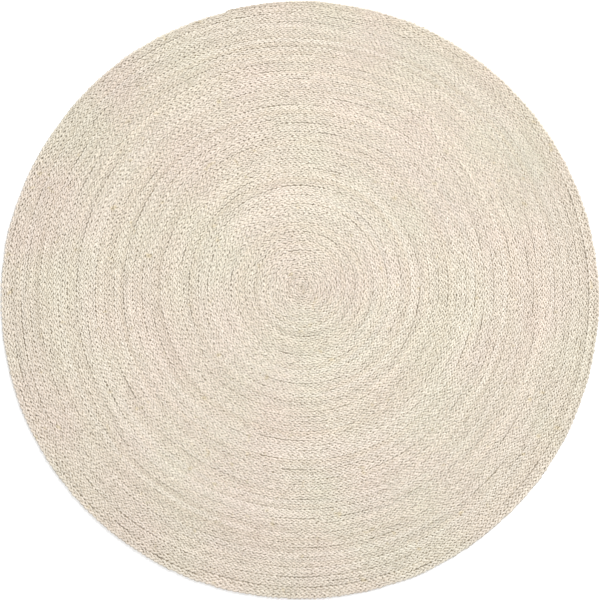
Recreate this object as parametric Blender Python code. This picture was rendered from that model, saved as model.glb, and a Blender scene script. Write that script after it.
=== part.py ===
"""Round jute rug: a pair of long plaits, coiled from an eye near the middle and sewn turn to turn.

The rug is one cloth-like disc, so it is one closed solid: a flat underside, a rounded rim, and a top
whose ribs are the turns of the pair. A spiral seam line is the valley between one turn and the next.
Metres, +Z up, origin on the floor under the middle of the rug. Seen from above, with +Y up the page,
the pair winds outwards counter-clockwise and its tail tapers away at TAIL_ANGLE.
"""

import math

import bmesh
import bpy
from mathutils import Vector

# Driving dimensions
RUG_RADIUS = 0.750
TURNS = 32  # whole turns of the pair of plaits from the eye to the tail
THICKNESS = 0.012  # floor to the top of a turn
SEAM_DEPTH = 0.0032  # how far the sewn seam sinks below the top of a turn
RIM_ROUND = 0.004  # how far the rounded rim reaches out past the last seam line
EYE = Vector((0.005, 0.034))  # the coil starts off the middle of the rug
EYE_FADE = 3.0  # the turns drift back to the middle with this power of their radius
TAIL_ANGLE = math.radians(117.0)

# The last turns are eased so that the coil ends as a circle
EASED_TURNS = 8
TAIL_SHARE = 0.16  # share of the last turn over which the tail tapers

# A turn across its width: two shoulders with a gentle crown, then the next seam
SHOULDERS = (0.27, 0.73)

# Steps round one turn, finer where the turns are longer: turns from FROM outwards have STEPS
STEPS_BY_TURN = (
    # from turn, steps
    (-1, 15),
    (3, 30),
    (10, 60),
)
RIM_STEPS = 3

# The rim is a little out of true, twice and four times round
RIM_WAVES = (
    # waves, height, phase
    (2, 0.0008, 0.7),
    (4, 0.0005, 2.1),
)

JUTE_COLOUR = (0.74, 0.66, 0.55, 1.0)  # bleached jute, linear
JUTE_ROUGHNESS = 0.9

COIL_RADIUS = RUG_RADIUS - RIM_ROUND
PITCH = COIL_RADIUS / TURNS
SEAM_HEIGHT = THICKNESS - SEAM_DEPTH
RIM_STEP_COUNT = STEPS_BY_TURN[-1][1]


def smooth(share):
    """0 to 1 with level ends."""
    share = min(max(share, 0.0), 1.0)
    return share * share * (3.0 - 2.0 * share)


def seam_radius(turn, share):
    """Radius of the seam inside a turn, at a share of the way round from the tail's angle."""
    if turn < 0:
        return 0.0
    if turn >= TURNS:
        return COIL_RADIUS
    easing = min(max((turn + share - (TURNS - 1 - EASED_TURNS)) / EASED_TURNS, 0.0), 1.0)
    late_step = smooth((share - 1.0 + TAIL_SHARE) / TAIL_SHARE)
    return PITCH * (turn + share + easing * (late_step - share))


def place(radius, share):
    """Point of the floor plan at a coil radius, a share of the way round."""
    angle = TAIL_ANGLE + math.tau * share
    reach = min(radius / COIL_RADIUS, 1.0)
    wave = sum(height * math.cos(waves * angle + phase) for waves, height, phase in RIM_WAVES)
    middle = EYE * (1.0 - reach**EYE_FADE)
    return middle + Vector((math.cos(angle), math.sin(angle))) * (radius + wave * reach)


def steps_of(turn):
    return [steps for first, steps in STEPS_BY_TURN if turn >= first][-1]


def add_line(mesh, turn, across):
    """Vertices round one turn, at a share of its width: 0 is its inner seam."""
    line = []
    for step in range(steps_of(turn)):
        share = step / steps_of(turn)
        inner = seam_radius(turn, share)
        width = seam_radius(turn + 1, share) - inner
        crown = SEAM_DEPTH * min(width / PITCH, 1.0) if 0.0 < across < 1.0 else 0.0
        spot = place(inner + across * width, share)
        line.append((share, mesh.verts.new((spot.x, spot.y, SEAM_HEIGHT + crown))))
    return line


def add_ring(mesh, radius, height):
    """A closed ring round the rug, outside the coil."""
    steps = range(RIM_STEP_COUNT)
    spots = [place(radius, step / RIM_STEP_COUNT) for step in steps]
    return [(step / RIM_STEP_COUNT, mesh.verts.new((*spots[step], height))) for step in steps]


def zip_lines(mesh, inner, outer):
    """Triangles between two lines that need not have the same number of steps."""
    i = o = 0
    while i < len(inner) - 1 or o < len(outer) - 1:
        next_inner = inner[i + 1][0] if i < len(inner) - 1 else math.inf
        next_outer = outer[o + 1][0] if o < len(outer) - 1 else math.inf
        if next_outer <= next_inner:
            corners = (inner[i][1], outer[o][1], outer[o + 1][1])
            o += 1
        else:
            corners = (inner[i][1], outer[o][1], inner[i + 1][1])
            i += 1
        if len(set(corners)) == 3:
            mesh.faces.new(corners)


def build_coil(mesh):
    """The ribbed top. Returns the ring at its outer edge."""
    edge = add_ring(mesh, COIL_RADIUS, SEAM_HEIGHT)
    eye_spot = place(0.0, 0.0)
    eye = mesh.verts.new((eye_spot.x, eye_spot.y, SEAM_HEIGHT))
    lines = {}
    for turn in range(TURNS):
        for across in (0.0, *SHOULDERS):
            lines[turn, across] = add_line(mesh, turn, across)
    # The coil starts at the eye, and before it the pair grows out of a point
    mesh.verts.remove(lines[0, 0.0][0][1])
    lines[0, 0.0][0] = (0.0, eye)
    lines[-1, 0.0] = [(0.0, eye)]
    for across in SHOULDERS:
        lines[-1, across] = add_line(mesh, -1, across)
        mesh.verts.remove(lines[-1, across][0][1])
        lines[-1, across][0] = (0.0, eye)
    # Each turn ends where the next one starts, and the tail ends on the edge
    for turn in range(-1, TURNS):
        for across in (0.0, *SHOULDERS):
            if turn + across == -1.0:
                continue
            following = lines[turn + 1, across] if turn + 1 < TURNS else edge
            lines[turn, across].append((1.0, following[0][1]))
    edge_line = [*edge, (1.0, edge[0][1])]
    for turn in range(-1, TURNS):
        next_seam = lines[turn + 1, 0.0] if turn + 1 < TURNS else edge_line
        across_turn = [lines[turn, across] for across in (0.0, *SHOULDERS)] + [next_seam]
        for inner, outer in zip(across_turn, across_turn[1:]):
            zip_lines(mesh, inner, outer)
    return edge_line


def build_rim(mesh, edge_line):
    """A half-round rim down to the flat underside."""
    inner = edge_line
    for step in range(1, RIM_STEPS + 1):
        turned = math.pi * step / RIM_STEPS
        radius = COIL_RADIUS + RIM_ROUND * math.sin(turned)
        height = SEAM_HEIGHT * (1.0 + math.cos(turned)) / 2.0
        ring = add_ring(mesh, radius, height)
        outer = [*ring, (1.0, ring[0][1])]
        zip_lines(mesh, inner, outer)
        inner = outer
    mesh.faces.new([corner for _, corner in reversed(inner[:-1])])


def jute_material():
    material = bpy.data.materials.new("bleached_jute")
    material.use_nodes = True
    shader = material.node_tree.nodes["Principled BSDF"]
    shader.inputs["Base Color"].default_value = JUTE_COLOUR
    shader.inputs["Roughness"].default_value = JUTE_ROUGHNESS
    shader.inputs["Metallic"].default_value = 0.0
    return material


def build_rug():
    mesh = bmesh.new()
    build_rim(mesh, build_coil(mesh))
    data = bpy.data.meshes.new("rug")
    mesh.to_mesh(data)
    mesh.free()
    data.materials.append(jute_material())
    data.shade_smooth()
    rug = bpy.data.objects.new("rug", data)
    bpy.context.scene.collection.objects.link(rug)


for leftover in list(bpy.data.objects):
    bpy.data.objects.remove(leftover)
build_rug()
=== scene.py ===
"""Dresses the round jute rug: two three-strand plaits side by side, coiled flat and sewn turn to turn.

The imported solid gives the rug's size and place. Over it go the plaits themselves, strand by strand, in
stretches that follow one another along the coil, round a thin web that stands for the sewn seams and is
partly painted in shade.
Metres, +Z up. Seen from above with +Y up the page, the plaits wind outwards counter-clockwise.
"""

import math

import bpy
import numpy as np
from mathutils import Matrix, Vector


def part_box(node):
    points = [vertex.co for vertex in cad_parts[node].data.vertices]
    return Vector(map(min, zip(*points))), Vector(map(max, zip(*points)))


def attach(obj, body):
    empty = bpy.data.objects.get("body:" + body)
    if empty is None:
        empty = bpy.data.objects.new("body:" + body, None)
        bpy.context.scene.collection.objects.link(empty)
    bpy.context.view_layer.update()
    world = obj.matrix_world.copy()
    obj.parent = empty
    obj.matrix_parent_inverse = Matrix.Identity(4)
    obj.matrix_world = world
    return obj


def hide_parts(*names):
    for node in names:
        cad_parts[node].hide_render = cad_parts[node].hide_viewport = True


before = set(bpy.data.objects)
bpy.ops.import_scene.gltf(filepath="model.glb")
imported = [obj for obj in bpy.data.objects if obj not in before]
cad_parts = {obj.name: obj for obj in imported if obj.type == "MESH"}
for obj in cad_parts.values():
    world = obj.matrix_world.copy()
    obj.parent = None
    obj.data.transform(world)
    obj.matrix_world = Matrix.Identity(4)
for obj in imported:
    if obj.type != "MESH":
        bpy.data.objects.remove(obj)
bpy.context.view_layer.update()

TURN = 2.0 * math.pi
UP = (0.0, 0.0, 1.0)

# The coil, as the solid has it
RUG_RADIUS = 0.750
RIM_ROUND = 0.004  # how far the rounded rim reaches out past the last seam line
TURNS = 32  # whole turns of the pair from the eye to the tail
COIL_RADIUS = RUG_RADIUS - RIM_ROUND
PITCH = COIL_RADIUS / TURNS  # width of one turn
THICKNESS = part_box("rug")[1].z
EYE = (0.005, 0.034)  # the coil starts off the middle of the rug
EYE_FADE = 3.0  # the turns drift back to the middle with this power of their radius
TAIL_ANGLE = math.radians(117.0)
EASED_TURNS = 8  # the last turns are eased so that the coil ends as a circle
TAIL_SHARE = 0.16  # share of the last turn over which the tail tapers

# Where sewing has pushed the turns in or out of true
NUDGES = (
    # angle in degrees, half width in degrees, height in metres
    (56, 11, 0.0050),
    (84, 12, -0.0055),
    (140, 20, 0.0030),
    (205, 14, -0.0030),
    (224, 9, 0.0060),
    (252, 14, -0.0030),
    (300, 16, 0.0025),
    (338, 18, -0.0028),
)
NUDGE_GROWTH = 1.5  # the nudges grow with this power of the share of the way to the rim
NUDGE_END = 8  # and they die out at the rim with this power of it

# The plaits, side by side in each turn
PLAITS = ("inner", "outer")
PLAIT_WIDTH = PITCH / len(PLAITS)
PAIR_PULL = 0.0002  # how far each plait of a turn is pulled towards the other
WIND_START = -0.62  # turns before the eye where the plaits' first ends are tucked in
WIND_END = TURNS - 0.035
COURSE_POINTS = 60000  # a plait's course is worked out at this many points
STRETCHES = 3  # pieces that each plait is made in
PLAIT_SEED = 71

# The strands of a plait
STRANDS = 3
STRAND_PERIOD = 0.038  # length of plait in which a strand crosses over and back
STRAND_WIDTH = 0.0064
STRAND_DEPTH = 0.0062
STRAND_GIRTH = 1.6 * (STRAND_WIDTH + STRAND_DEPTH)  # about pi / 2 times the two, as round an ellipse
STRAND_RISE = 0.0015  # how far a strand climbs over its neighbours and dips under them
STRAND_LEAN = 0.05  # slope with which a strand's back edge tucks under the strand before it
STEEPEST = 0.65  # sideways part of a strand's heading where it crosses the plait
EDGE_LIFT = 0.0016  # sewing under the rug pushes the edges of each plait up
BEND = 0.90  # how sharply a strand turns back at the plait's edge, 0 a wave and 1 a zigzag
PLATEAU = 1.0  # how long a strand stays on top before it dives
TUCK = 0.0018  # how far sewing pulls each plait's edge into the next
LUMPS = 0.10  # how uneven a strand's section is
SECTION = (
    # a strand's section in half widths and half depths
    (1.0, 0.0),
    (0.0, 1.0),
    (-1.0, 0.0),
    (0.0, -1.0),
)
SIDES = len(SECTION)
STEPS_PER_PERIOD = 10

# Where a plait tapers, its strands get smaller with these powers of its fullness
PERIOD_POWER = 0.6
WIDTH_POWER = 0.8
DEPTH_POWER = 0.5

# What strays from true: how far, and the length over which it comes to a new value
SLOW_PULL = (0.09, 0.35)  # share by which the plait is made tighter or looser
QUICK_PULL = (0.10, 0.05)
LANE_STRAY = (0.0005, 1.0)  # to either side of the plait's lane, over squared turns
PLAIT_ROLL = (0.05, 0.22)  # slope across the plait
PLAIT_LIFT = (0.0002, 0.15)
STRAND_SWELL = (0.06, 0.013)  # share by which a strand is wider or narrower
STRAND_SWAY = (0.0005, 0.010)  # to either side
STRAND_BOB = (0.0003, 0.010)  # up and down
STRAND_TILT = (0.13, 0.010)  # slope across the strand

# What strays in tone, from dull to bright, and in warmth, from white to tan, in the same way
SLOW_TONE = (0.4, 0.5)
QUICK_TONE = (0.4, 0.12)
SLOW_WARMTH = (0.8, 0.8)
TURN_WARMTH = (0.5, 0.045)  # over the radius, so that some turns are warmer than others
STRAND_QUICK_TONE = (0.25, 0.014)
STRAND_SLOW_TONE = (0.4, 0.2)
STRAND_WARMTH = (0.6, 0.2)
WARM_DULLNESS = 0.3  # how much duller a plait is for each unit of its warmth
RIM_DULLNESS = 1.4  # how much duller the plaits are at the rim, in units of tone
RIM_POWER = 4  # the dullness grows with this power of the radius

# The two maps of a plait's mesh
LAYOUT_MARGIN = 0.06  # share of a row of the layout left empty on each side
STRAND_SHIFT = 7.0  # whole girths from one strand's fibres to the next one's, so that they differ
CAP_SPOT = 0.0005  # where the closed ends lie on both maps

# Bleached jute
CREAM = (0.700, 0.632, 0.538, 1.0)
WHITE_CREAM = (0.717, 0.658, 0.581, 1.0)
TAN_CREAM = (0.694, 0.615, 0.515, 1.0)
GREY_CREAM = (0.604, 0.547, 0.459, 1.0)
PINK_TINT = (1.0, 0.970, 0.988, 1.0)
GREEN_TINT = (0.970, 1.0, 0.975, 1.0)
STRAW = (0.604, 0.516, 0.350, 1.0)
# painted shade: the colour of the low places among the fibres, of the grooves between strands and of the
# web's dark patches
SHADE = (0.197, 0.141, 0.066, 1.0)
TONE_STEP = 0.040  # share of brightness that a unit of tone gives
WARMTH_SPAN = 2.5  # units of warmth from the middle to the whitest or the tannest

# The grain of the jute, as noise scales to the metre
SPLITS = (65.0, 950.0, 1.0)  # between bundles of fibres, along and round a strand
HAIRS = (90.0, 4500.0, 1.0)  # single fibres, along and round a strand
NUBS = 260.0  # short ends that stand up
BLOTCHES = 4.0  # pinker and greener places
BLOTCH_SPAN = (0.36, 0.64)  # their noise where a place is all pink, and all green
FLECKS = 42.0  # straw that bleaching has left
WEB_SHADE_SCALE = 400.0  # of the patches of painted shade on the web that stands for the sewn seams
WEB_SHADE_SPAN = (0.3, 0.6)  # the noise where the web is all painted shade, and all cream
FIBROUS = 0.6  # roughness of the fibres' noises
SPLIT_SHARE = 0.6  # share of the splits in how high the fibres stand, and the nubs give the rest
LOW_PAINTED_SHADE = 0.7  # how much darker the low places among the fibres are painted, as shade
GROOVE = (0.24, 0.04)  # where the painted shade in the groove beside a strand starts and is full, 0 being its very side
GROOVE_BREAKS = (0.58, 0.42)  # the nubs' noise where they hide the groove's painted shade, and where it is bare
GROOVE_SHADE = 0.95  # how dark the painted shade of a bare groove is
RELIEF = 0.0014  # height of the fibres
RELIEF_STRENGTH = 0.9
HAIR_RELIEF = 0.2  # height of the single fibres, as a share of it

# The web that stands for the sewn seams, partly painted in shade
WEB_RINGS = 20
WEB_STEPS = 96
WEB_DEPTH = 0.0016
WEB_HEIGHT = 0.0045  # middle of the web above the floor
WEB_MARGIN = 0.008  # the web stops this far inside the rim
WEB_RIPPLE = 0.0003  # how far the seams pull it up and down
WEB_SEED = 5

# The studio
FLOOR_SPAN = 14.0
FLOOR_GAP = 0.0005
FLOOR_COLOUR = (0.95, 0.95, 0.95, 1.0)
WHITE = (1.0, 1.0, 1.0, 1.0)
WORLD_STRENGTH = 1.08
KEY_SIZE = 1.6
KEY_POWER = 272.0
KEY_DISTANCE = 6.0
KEY_AZIMUTH = math.radians(57.0)
KEY_ELEVATION = math.radians(45.0)

# The camera
LENS = 100.0
SENSOR = 36.0
FRAME_PIXELS = 600.0
RUG_PIXELS = 598.8  # the rug's width in the photograph


def smooth(share):
    """0 to 1 with level ends."""
    share = np.clip(share, 0.0, 1.0)
    return share * share * (3.0 - 2.0 * share)


def seam_radius(wind):
    """Radius of the seam on a turn's inner side, wind turns after the eye."""
    share = wind % 1.0
    easing = np.clip((wind - (TURNS - 1 - EASED_TURNS)) / EASED_TURNS, 0.0, 1.0)
    late_step = smooth((share - 1.0 + TAIL_SHARE) / TAIL_SHARE)
    radius = PITCH * (wind + easing * (late_step - share))
    return np.where(wind < 0.0, 0.0, np.where(wind >= TURNS, RUG_RADIUS - TUCK, radius))


def nudged(angle, reach):
    """How far the turns are pushed out of true, least at the eye and at the rim."""
    total = 0.0
    for at, half_width, height in NUDGES:
        away = (angle - math.radians(at) + math.pi) % TURN - math.pi
        total = total + height * np.exp(-((away / math.radians(half_width)) ** 2))
    return total * reach**NUDGE_GROWTH * (1.0 - reach**NUDGE_END)


def place(radius, wind):
    """Points of the floor plan at a radius of the coil, wind turns round from the tail's angle."""
    angle = TAIL_ANGLE + TURN * wind
    reach = np.clip(radius / COIL_RADIUS, 0.0, 1.0)
    true_radius = radius + nudged(angle, reach)
    drift = 1.0 - reach**EYE_FADE
    x = EYE[0] * drift + np.cos(angle) * true_radius
    y = EYE[1] * drift + np.sin(angle) * true_radius
    return x, y


def wander(chance, places, stray):
    """A slow random drift along places. The stray is its spread and the distance between its knots."""
    spread, spacing = stray
    steps = (places - places.min()) / spacing
    knots = chance.standard_normal(int(steps.max()) + 2)
    whole = steps.astype(int)
    return spread * (knots[whole] + (knots[whole + 1] - knots[whole]) * smooth(steps - whole))


class PlaitRun:
    """One plait's course: where its middle is, how wide it is and where its strands stand."""

    def __init__(self, lane, chance):
        wind = np.linspace(WIND_START, WIND_END, COURSE_POINTS)
        inner, outer = seam_radius(wind), seam_radius(wind + 1.0)
        fullness = (outer - inner) / PITCH
        off_middle = lane - (len(PLAITS) - 1) / 2.0
        middle = (inner + outer) / 2.0 + off_middle * (PLAIT_WIDTH - 2.0 * PAIR_PULL) * fullness
        # Squared turns grow evenly along the plait, as its length does
        middle = middle + wander(chance, wind * np.abs(wind), LANE_STRAY) * fullness
        step = np.hypot(TURN * middle * np.gradient(wind), np.gradient(middle))
        length = np.cumsum(step)
        pull = 1.0 + wander(chance, length, SLOW_PULL) + wander(chance, length, QUICK_PULL)
        phase = np.cumsum(TURN / STRAND_PERIOD * step * pull / fullness**PERIOD_POWER)
        each = TURN / STEPS_PER_PERIOD
        self.phase = np.arange(each / 2.0, phase[-1], each)
        at_steps = [np.interp(self.phase, phase, line) for line in (wind, length, middle, fullness)]
        self.wind, self.length, self.middle, self.fullness = at_steps
        self.period = STRAND_PERIOD * self.fullness**PERIOD_POWER
        self.roll = wander(chance, self.length, PLAIT_ROLL)
        self.lift = wander(chance, self.length, PLAIT_LIFT)


def strand_middle(run, phase, chance):
    """How far a strand's middle is to the side of the plait's, and above it, at each step."""
    swing = run.fullness * ((PLAIT_WIDTH - STRAND_WIDTH) / 2.0 + TUCK)
    rise = STRAND_RISE * run.fullness**DEPTH_POWER
    across = swing * np.arcsin(BEND * np.cos(phase)) / math.asin(BEND)
    across = across + wander(chance, run.length, STRAND_SWAY)
    up = rise * np.tanh(PLATEAU * np.sin(2.0 * phase)) / math.tanh(PLATEAU)
    up = up + EDGE_LIFT * (np.cos(phase) ** 2 - 0.5) + wander(chance, run.length, STRAND_BOB)
    return across, up


def strand_section(run, heading, half_width, half_depth, chance):
    """How far a strand's corners are ahead of its middle, to the side and up, at each step."""
    side = np.cross(UP, heading)
    side = side / np.linalg.norm(side, axis=-1)[:, None]
    top = np.cross(heading, side)
    lean = wander(chance, run.length, STRAND_TILT) - STRAND_LEAN * heading[:, 1] / STEEPEST
    side, top = side + top * lean[:, None], top - side * lean[:, None]
    wide, deep = np.array(SECTION).T
    lumps = 1.0 + LUMPS * chance.standard_normal((len(heading), SIDES))
    across = (half_width[:, None] * wide * lumps)[..., None]
    up = (half_depth[:, None] * deep * lumps)[..., None]
    return np.moveaxis(side[:, None, :] * across + top[:, None, :] * up, -1, 0)


def strand_course(run, number, chance):
    """One strand's corners round its section at each step, and how far along itself each step is."""
    phase = run.phase + TURN * number / STRANDS
    size = run.fullness**WIDTH_POWER * (1.0 + wander(chance, run.length, STRAND_SWELL))
    half_width = STRAND_WIDTH / 2.0 * size
    half_depth = STRAND_DEPTH / 2.0 * run.fullness**DEPTH_POWER
    across, up = strand_middle(run, phase, chance)
    each = np.gradient(run.phase)
    heading = np.stack([run.period / TURN, np.gradient(across) / each, np.gradient(up) / each], axis=-1)
    pace = np.linalg.norm(heading, axis=-1)
    heading = heading / pace[:, None]
    ahead, beside, above = strand_section(run, heading, half_width, half_depth, chance)
    across = across[:, None] + beside
    up = up[:, None] + above + across * run.roll[:, None] + run.lift[:, None]
    radius = np.maximum(run.middle[:, None] + across, 0.0)
    wind = run.wind[:, None] + ahead / (TURN * np.maximum(radius, PITCH / 2.0))
    x, y = place(radius, wind)
    height = np.clip(THICKNESS / 2.0 + up, 0.0, None)
    along = np.cumsum(pace * each)
    return np.stack([x, y, height], axis=-1), along


def stretch_mesh(name, courses, alongs, shades, first, last):
    """A mesh of every strand between two steps of the plait, closed at both ends."""
    steps = last - first
    points = np.concatenate([course[first : last + 1].reshape(-1, 3) for course in courses])
    step, side = np.meshgrid(np.arange(steps), np.arange(SIDES), indexing="ij")
    step, side = step.ravel(), side.ravel()
    beside = (side + 1) % SIDES
    here, ahead = step * SIDES, (step + 1) * SIDES
    ring = np.stack([here + side, ahead + side, ahead + beside, here + beside], axis=-1)
    per_strand = (steps + 1) * SIDES
    quads = np.concatenate([ring + number * per_strand for number in range(STRANDS)])
    caps = []
    for number in range(STRANDS):
        start = number * per_strand + np.arange(SIDES)
        caps.append(start)
        caps.append((start + steps * SIDES)[::-1])
    mesh = bpy.data.meshes.new(name)
    mesh.from_pydata(points.tolist(), [], quads.tolist() + [cap.tolist() for cap in caps])
    mesh.shade_smooth()
    add_maps(mesh, alongs, first, steps, step, side)
    for shade, strands in shades.items():
        values = [np.repeat(strand[first : last + 1], SIDES) for strand in strands]
        mesh.attributes.new(shade, "FLOAT", "POINT").data.foreach_set("value", np.concatenate(values))
    return mesh


def add_maps(mesh, alongs, first, steps, step, side):
    """A map that runs along each strand for its fibres, and one that lays all the strands out in rows."""
    corner_step = np.stack([step, step + 1, step + 1, step], axis=-1)
    corner_side = np.stack([side, side, side + 1, side + 1], axis=-1)
    strand_length = alongs[0][first + steps] - alongs[0][first]
    rows = max(1, round(math.sqrt(STRANDS * strand_length / STRAND_GIRTH)))
    columns = math.ceil(STRANDS * steps / rows)
    runs, layouts = [], []
    for number in range(STRANDS):
        along = alongs[number][first + corner_step]
        round_strand = (corner_side / SIDES + number * STRAND_SHIFT) * STRAND_GIRTH
        runs.append(np.stack([along, round_strand], axis=-1).reshape(-1, 2))
        cell = number * steps + step
        row, column = cell // columns, cell % columns
        u = (column[:, None] + corner_step - step[:, None]) / columns
        inside = LAYOUT_MARGIN + (1.0 - 2.0 * LAYOUT_MARGIN) * corner_side / SIDES
        v = (row[:, None] + inside) / rows
        layouts.append(np.stack([u, v], axis=-1).reshape(-1, 2))
    cap_corners = len(mesh.loops) - STRANDS * corner_step.size
    for name, parts in (("OFBake", layouts), ("strand_run", runs)):
        values = np.concatenate([*parts, np.full((cap_corners, 2), CAP_SPOT)])
        mesh.uv_layers.new(name=name).data.foreach_set("uv", values.ravel())


class Signal:
    """A socket of a finish's nodes that can be added, multiplied and so on."""

    def __init__(self, finish, socket):
        self.finish, self.socket = finish, socket

    def math(self, operation, other, turned=False):
        """A Math node on this value and another, or on the other and this one."""
        first, second = (other, self) if turned else (self, other)
        return self.finish.node("ShaderNodeMath", {"operation": operation}, {0: first, 1: second})

    def __add__(self, other):
        return self.math("ADD", other)

    def __radd__(self, other):
        return self.math("ADD", other, turned=True)

    def __sub__(self, other):
        return self.math("SUBTRACT", other)

    def __rsub__(self, other):
        return self.math("SUBTRACT", other, turned=True)

    def __mul__(self, other):
        return self.math("MULTIPLY", other)

    def __rmul__(self, other):
        return self.math("MULTIPLY", other, turned=True)


class Finish:
    """A material under a maker's name, built up node by node."""

    def __init__(self, name, roughness):
        self.material = bpy.data.materials.new(name)
        self.material.use_nodes = True
        self.nodes = self.material.node_tree.nodes
        self.links = self.material.node_tree.links
        self.shader = self.nodes["Principled BSDF"]
        self.shader.inputs["Roughness"].default_value = roughness

    def node(self, kind, settings, values, output=0):
        """Adds a node: its settings first, then the values or links of its sockets."""
        node = self.nodes.new(kind)
        for name, setting in settings.items():
            setattr(node, name, setting)
        for name, value in values.items():
            self.feed(node.inputs[name], value)
        return Signal(self, node.outputs[output])

    def feed(self, socket, value):
        """Links a socket to a signal, or sets it to a plain value."""
        if isinstance(value, Signal):
            self.links.new(value.socket, socket)
        else:
            socket.default_value = value

    def show(self, name, value):
        """Sends a value or a link to one of the shader's own sockets."""
        self.feed(self.shader.inputs[name], value)

    def spot(self):
        """The place on the rug, in metres."""
        return self.node("ShaderNodeTexCoord", {}, {}, output="Object")

    def carried(self, name):
        """A value that the mesh carries at each of its points."""
        return self.node("ShaderNodeAttribute", {"attribute_name": name}, {}, output="Fac")

    def mix(self, share, first, second, blend="MIX"):
        """A colour between two others. A Mix node takes its colours at sockets 6 and 7."""
        settings = {"data_type": "RGBA", "blend_type": blend}
        return self.node("ShaderNodeMix", settings, {0: share, 6: first, 7: second}, output=2)

    def tinted(self, colour, tint):
        """A colour multiplied by another."""
        return self.mix(1.0, colour, tint, "MULTIPLY")

    def noise(self, where, scale, detail=2.0, roughness=0.5):
        """Noise from 0 to 1, mostly near the middle."""
        values = {"Vector": where, "Scale": scale, "Detail": detail, "Roughness": roughness}
        return self.node("ShaderNodeTexNoise", {}, values)

    def stretched_noise(self, where, scales, roughness):
        """Noise with a scale of its own along each direction."""
        scaled = self.node("ShaderNodeVectorMath", {"operation": "MULTIPLY"}, {0: where, 1: scales})
        return self.noise(scaled, 1.0, roughness=roughness)

    def between(self, value, low, high, most=1.0):
        """0 where the value is at or past low, most where it is at or past high, and even between."""
        limits = {"Value": value, "From Min": low, "From Max": high, "To Max": most}
        return self.node("ShaderNodeMapRange", {}, limits)


def jute_finish():
    """Bleached jute: fibres along each strand, soft stretches of colour, a few straw flecks, and painted
    shade in the low places among the fibres and in the grooves beside the strands.
    """
    jute = Finish("bleached_jute_strand", roughness=0.85)
    run = jute.node("ShaderNodeUVMap", {"uv_map": "strand_run"}, {})
    spot = jute.spot()
    splits = jute.stretched_noise(run, SPLITS, FIBROUS)
    hairs = jute.stretched_noise(run, HAIRS, FIBROUS)
    nubs = jute.noise(spot, NUBS, detail=1.0, roughness=FIBROUS)
    blotches = jute.noise(spot, BLOTCHES, detail=3.0)
    flecks = jute.noise(spot, FLECKS, detail=1.0)
    fibres = splits * SPLIT_SHARE + nubs * (1.0 - SPLIT_SHARE)
    warmth = jute.between(jute.carried("strand_warmth"), -WARMTH_SPAN, WARMTH_SPAN)
    colour = jute.mix(warmth, WHITE_CREAM, TAN_CREAM)
    colour = jute.tinted(colour, jute.mix(jute.between(blotches, *BLOTCH_SPAN), PINK_TINT, GREEN_TINT))
    stains_and_shade = (
        # grain, where its mark starts, where the mark is full, how strongly, colour; the first two rows
        # are stains and the last paints shade in the low places among the fibres
        (flecks, 0.70, 0.80, 0.80, STRAW),
        (hairs, 0.60, 0.38, 0.35, GREY_CREAM),
        (fibres, 0.46, 0.34, 0.80, SHADE),
    )
    for grain, start, full, most, mark_colour in stains_and_shade:
        colour = jute.mix(jute.between(grain, start, full, most), colour, mark_colour)
    round_strand = jute.node("ShaderNodeSeparateXYZ", {}, {"Vector": run}, output="Y")
    # 0 along a strand's sides and 0.5 along the middle of its top and underside
    inward = (round_strand * (2.0 / STRAND_GIRTH)).math("PINGPONG", 0.5)
    # painted shade in the groove between strands, along each strand's sides and broken up by the nubs
    painted_groove_shade = jute.between(inward, *GROOVE) * jute.between(nubs, *GROOVE_BREAKS, GROOVE_SHADE)
    colour = jute.mix(painted_groove_shade, colour, SHADE)
    # the low places among the fibres are painted darker as shade, and each strand's tone strays at random
    level = 1.0 + jute.carried("strand_tone") * TONE_STEP + (fibres - 0.5) * LOW_PAINTED_SHADE
    grey = jute.node("ShaderNodeCombineColor", {}, {"Red": level, "Green": level, "Blue": level})
    jute.show("Base Color", jute.tinted(colour, grey))
    height = fibres + hairs * HAIR_RELIEF
    bump = {"Strength": RELIEF_STRENGTH, "Distance": RELIEF, "Height": height}
    jute.show("Normal", jute.node("ShaderNodeBump", {}, bump))
    return jute.material


def web_finish():
    """The sewn seams between the strands, cream with patches of painted shade."""
    web = Finish("sewn_seam_painted_shade", roughness=0.95)
    cream_share = web.between(web.noise(web.spot(), WEB_SHADE_SCALE), *WEB_SHADE_SPAN)
    web.show("Base Color", web.mix(cream_share, SHADE, CREAM))
    return web.material


def add_piece(name, mesh, finish):
    """An object of the rug itself, which rides with it and stands for its solid."""
    piece = bpy.data.objects.new(name, mesh)
    bpy.context.scene.collection.objects.link(piece)
    mesh.materials.append(finish)
    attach(piece, "root")
    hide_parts("rug")
    return piece


def plait_pieces(plait, lane, finish, chance):
    """One plait, cut into stretches that follow one another along the coil."""
    run = PlaitRun(lane, chance)
    plait_tone = wander(chance, run.length, SLOW_TONE) + wander(chance, run.length, QUICK_TONE)
    plait_tone = plait_tone - RIM_DULLNESS * (run.middle / COIL_RADIUS) ** RIM_POWER
    plait_warmth = wander(chance, run.length, SLOW_WARMTH) + wander(chance, run.middle, TURN_WARMTH)
    courses, alongs, tones, warmths = [], [], [], []
    for number in range(STRANDS):
        course, along = strand_course(run, number, chance)
        tone = wander(chance, along, STRAND_QUICK_TONE) + wander(chance, along, STRAND_SLOW_TONE)
        courses.append(course)
        alongs.append(along)
        tones.append(plait_tone - WARM_DULLNESS * plait_warmth + tone)
        warmths.append(plait_warmth + wander(chance, along, STRAND_WARMTH))
    shades = {"strand_tone": tones, "strand_warmth": warmths}
    cuts = np.linspace(0, len(run.phase) - 1, STRETCHES + 1).astype(int)
    pieces = []
    for number, (first, last) in enumerate(zip(cuts, cuts[1:]), 1):
        name = f"{plait}_plait_{number}"
        mesh = stretch_mesh(name, courses, alongs, shades, first, last)
        pieces.append(add_piece(name, mesh, finish))
    return pieces


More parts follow.
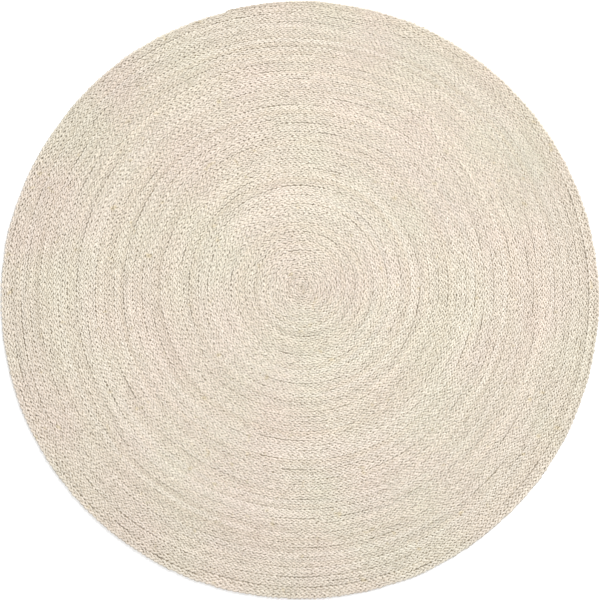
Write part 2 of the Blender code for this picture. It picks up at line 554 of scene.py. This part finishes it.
def web_mesh():
    """A thin closed disc inside the plaits, a little uneven as the seams pull it up and down."""
    chance = np.random.default_rng(WEB_SEED)
    radius = np.linspace(0.0, RUG_RADIUS - WEB_MARGIN, WEB_RINGS + 1)[1:]
    share = np.arange(WEB_STEPS) / WEB_STEPS
    radii, shares = np.meshgrid(radius, share, indexing="ij")
    x, y = place(radii, shares)
    pulled = WEB_HEIGHT + WEB_RIPPLE * chance.standard_normal(radii.shape)
    middle_x, middle_y = place(0.0, 0.0)
    points, middles = [], []
    for side in (1, -1):
        half = side * WEB_DEPTH / 2.0
        points += np.stack([x, y, pulled + half], axis=-1).reshape(-1, 3).tolist()
        middles.append([middle_x, middle_y, WEB_HEIGHT + half])
    mesh = bpy.data.meshes.new("seam_web")
    mesh.from_pydata(points + middles, [], web_faces())
    mesh.shade_smooth()
    return mesh


def web_faces():
    """The web's top and underside, each a fan round its middle and then rings, and its edge."""
    under = WEB_RINGS * WEB_STEPS  # number of the underside's first point
    top_middle, under_middle = 2 * under, 2 * under + 1
    edge = under - WEB_STEPS
    faces = []
    for step in range(WEB_STEPS):
        beside = (step + 1) % WEB_STEPS
        faces.append((top_middle, step, beside))
        faces.append((under_middle, under + beside, under + step))
        for ring in range(0, edge, WEB_STEPS):
            here, here_beside = ring + step, ring + beside
            out, out_beside = here + WEB_STEPS, here_beside + WEB_STEPS
            faces.append((here, out, out_beside, here_beside))
            faces.append((under + here, under + here_beside, under + out_beside, under + out))
        here, here_beside = edge + step, edge + beside
        faces.append((here, under + here, under + here_beside, here_beside))
    return faces


def lay_floor():
    """A plain pale floor just under the rug."""
    span = FLOOR_SPAN / 2.0
    corners = [(x * span, y * span, -FLOOR_GAP) for x, y in ((-1, -1), (1, -1), (1, 1), (-1, 1))]
    mesh = bpy.data.meshes.new("floor")
    mesh.from_pydata(corners, [], [(0, 1, 2, 3)])
    floor = bpy.data.objects.new("floor", mesh)
    bpy.context.scene.collection.objects.link(floor)
    pale = Finish("pale_floor", roughness=0.9)
    pale.show("Base Color", FLOOR_COLOUR)
    mesh.materials.append(pale.material)


def hang_key_light():
    """A square soft light at the upper right that faces the middle of the rug."""
    lamp = bpy.data.lights.new("key", "AREA")
    lamp.size = KEY_SIZE
    lamp.energy = KEY_POWER
    light = bpy.data.objects.new("key", lamp)
    away = KEY_DISTANCE * math.cos(KEY_ELEVATION)
    height = KEY_DISTANCE * math.sin(KEY_ELEVATION)
    light.location = (away * math.cos(KEY_AZIMUTH), away * math.sin(KEY_AZIMUTH), height)
    light.rotation_euler = (math.pi / 2.0 - KEY_ELEVATION, 0.0, KEY_AZIMUTH + math.pi / 2.0)
    bpy.context.scene.collection.objects.link(light)


def light_studio():
    """White light from all round, and the key light."""
    scene = bpy.context.scene
    scene.view_settings.view_transform = "Standard"
    world = bpy.data.worlds.new("studio")
    world.use_nodes = True
    background = world.node_tree.nodes["Background"]
    background.inputs["Color"].default_value = WHITE
    background.inputs["Strength"].default_value = WORLD_STRENGTH
    scene.world = world
    hang_key_light()


def set_camera():
    """Straight above the rug, as the photograph is taken."""
    lens = bpy.data.cameras.new("camera")
    lens.lens = LENS
    lens.sensor_width = SENSOR
    camera = bpy.data.objects.new("camera", lens)
    view_width = 2.0 * RUG_RADIUS * FRAME_PIXELS / RUG_PIXELS
    camera.location = (0.0, 0.0, THICKNESS / 2.0 + view_width * LENS / SENSOR)
    bpy.context.scene.collection.objects.link(camera)
    bpy.context.scene.camera = camera


set_camera()
light_studio()
lay_floor()
jute = jute_finish()
chance = np.random.default_rng(PLAIT_SEED)
stretches = []
for lane, plait in enumerate(PLAITS):
    stretches += plait_pieces(plait, lane, jute, chance)
web = add_piece("seam_web", web_mesh(), web_finish())
